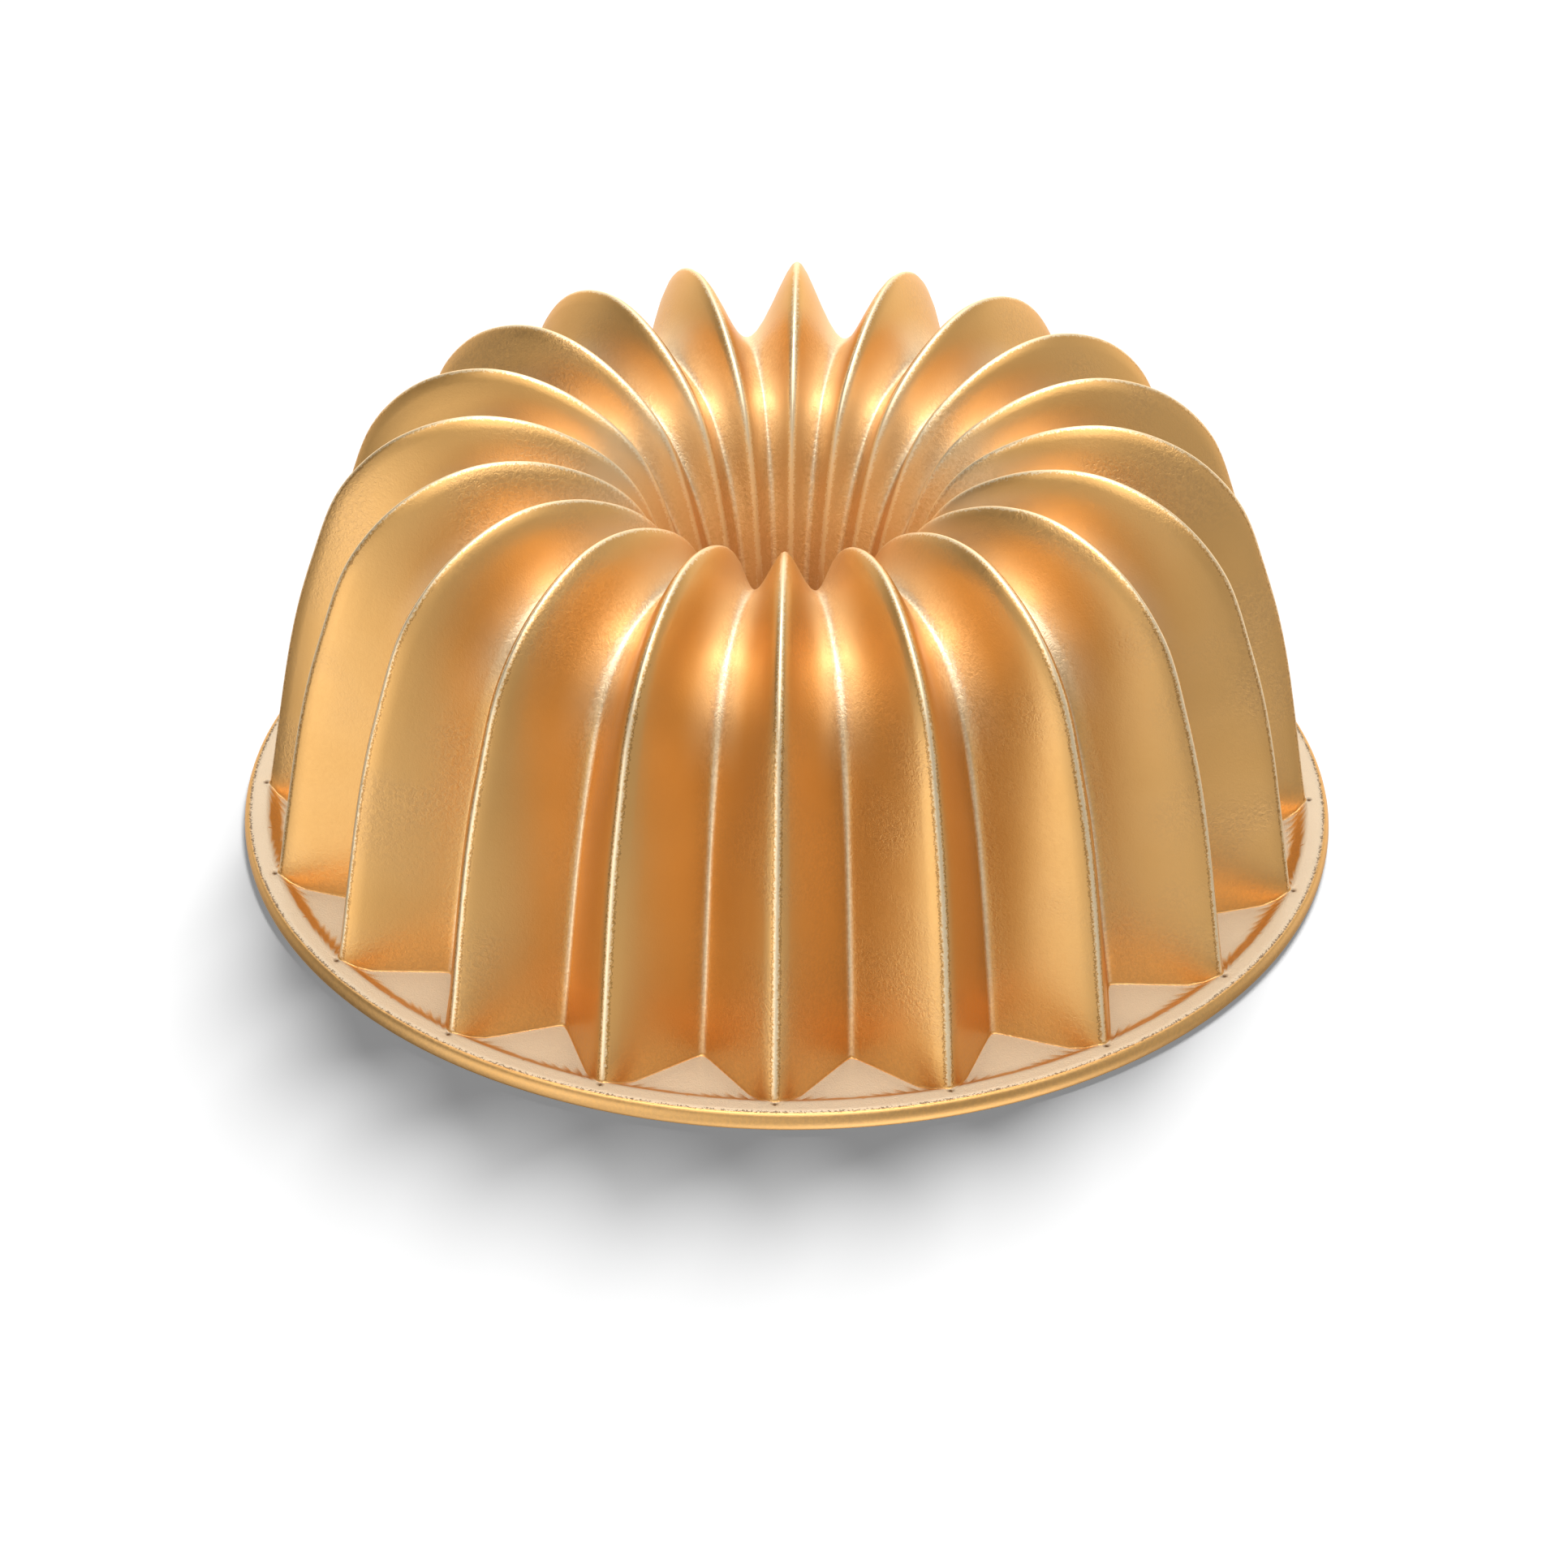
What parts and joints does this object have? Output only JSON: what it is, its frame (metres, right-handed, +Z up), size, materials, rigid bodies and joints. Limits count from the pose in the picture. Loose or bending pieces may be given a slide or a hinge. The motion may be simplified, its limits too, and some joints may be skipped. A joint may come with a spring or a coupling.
{
  "type": "fluted tube cake pan",
  "caption": "Round cast cake pan with sharp radial flutes, a hollow centre tube and a narrow flat rim, standing upside down on its rim.",
  "frame": {"origin": "centre of the rim land's plane, which is the bottom of the box as the pan stands upside down", "axes": "+Z up along the pan's axis, from the rim to the crown of the flutes; -Y through the foot of one ridge"},
  "size_m": [0.2652, 0.2652, 0.1082],
  "materials": {
    "bare_casting": "ground satin aluminium on the rim land and the tube's collar",
    "gold_coating": "satin champagne gold over a fine sand-cast grain",
    "non_stick_lining": "smooth satin gold non-stick"
  },
  "bodies": {
    "root": {"cast_body": "bare_casting", "exterior_coating": "gold_coating", "interior_lining": "non_stick_lining"}
  },
  "joints": []
}
